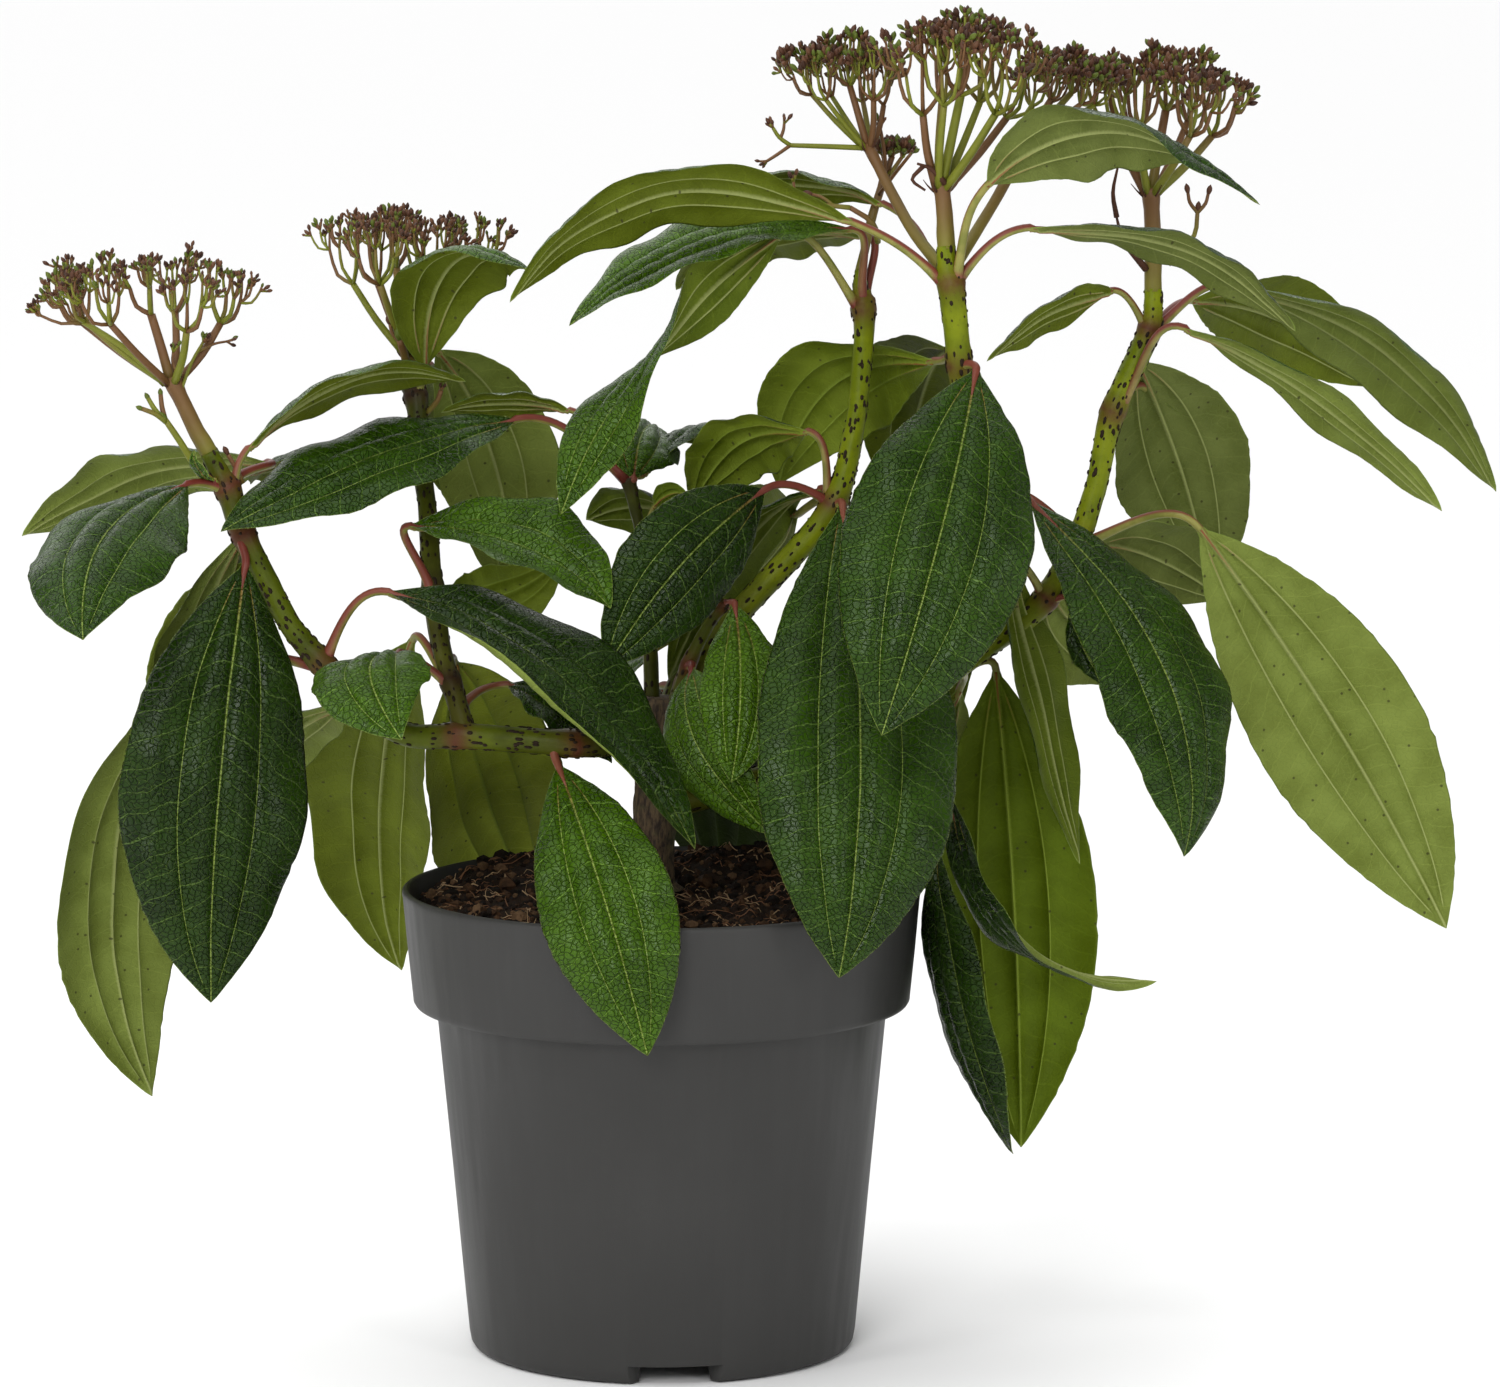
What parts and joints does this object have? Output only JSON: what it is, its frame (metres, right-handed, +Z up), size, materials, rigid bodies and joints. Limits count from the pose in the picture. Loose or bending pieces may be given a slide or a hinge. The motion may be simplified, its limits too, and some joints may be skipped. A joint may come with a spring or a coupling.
{
  "type": "potted david viburnum",
  "caption": "Small evergreen shrub in a round flared nursery pot, with broad three-veined leaves on branching stems and flat-topped heads of dark buds.",
  "frame": {"origin": "the middle of the pot's flat underside, on the ground", "axes": "+Z up along the pot's axis, -Y towards the side seen in the reference picture, +X to that side's right"},
  "size_m": [0.4875, 0.2285, 0.4385],
  "materials": {
    "pot": "matt, moulded, warm dark grey",
    "soil": "moist peat with fine fibres",
    "bark": "rough dark bark",
    "stem": "smooth yellow-green bark with raised dark pores",
    "leaf": "leathery, satin above and matt below",
    "blossom": "matt stalks with smooth buds"
  },
  "bodies": {
    "root": {"pot": "pot", "soil": "soil", "trunk": "bark", "bough_left": "stem", "bough_mid": "stem", "bough_centre": "stem", "bough_right": "stem", "leaves_left_low": "leaf", "leaves_left_crown": "leaf", "leaf_front": "leaf", "leaves_fork_low": "leaf", "leaves_fork_crown": "leaf", "leaves_inner": "leaf", "leaves_core": "leaf", "leaves_back": "leaf", "leaves_mid_low": "leaf", "leaves_mid_crown": "leaf", "leaves_centre_low": "leaf", "leaves_centre_crown": "leaf", "leaves_right_low": "leaf", "leaves_right_mid": "leaf", "leaves_right_crown": "leaf", "head_left": "blossom", "head_fork": "blossom", "head_mid": "blossom", "head_centre": "blossom", "head_centre_left": "blossom", "head_centre_right": "blossom", "head_right": "blossom"}
  },
  "joints": []
}
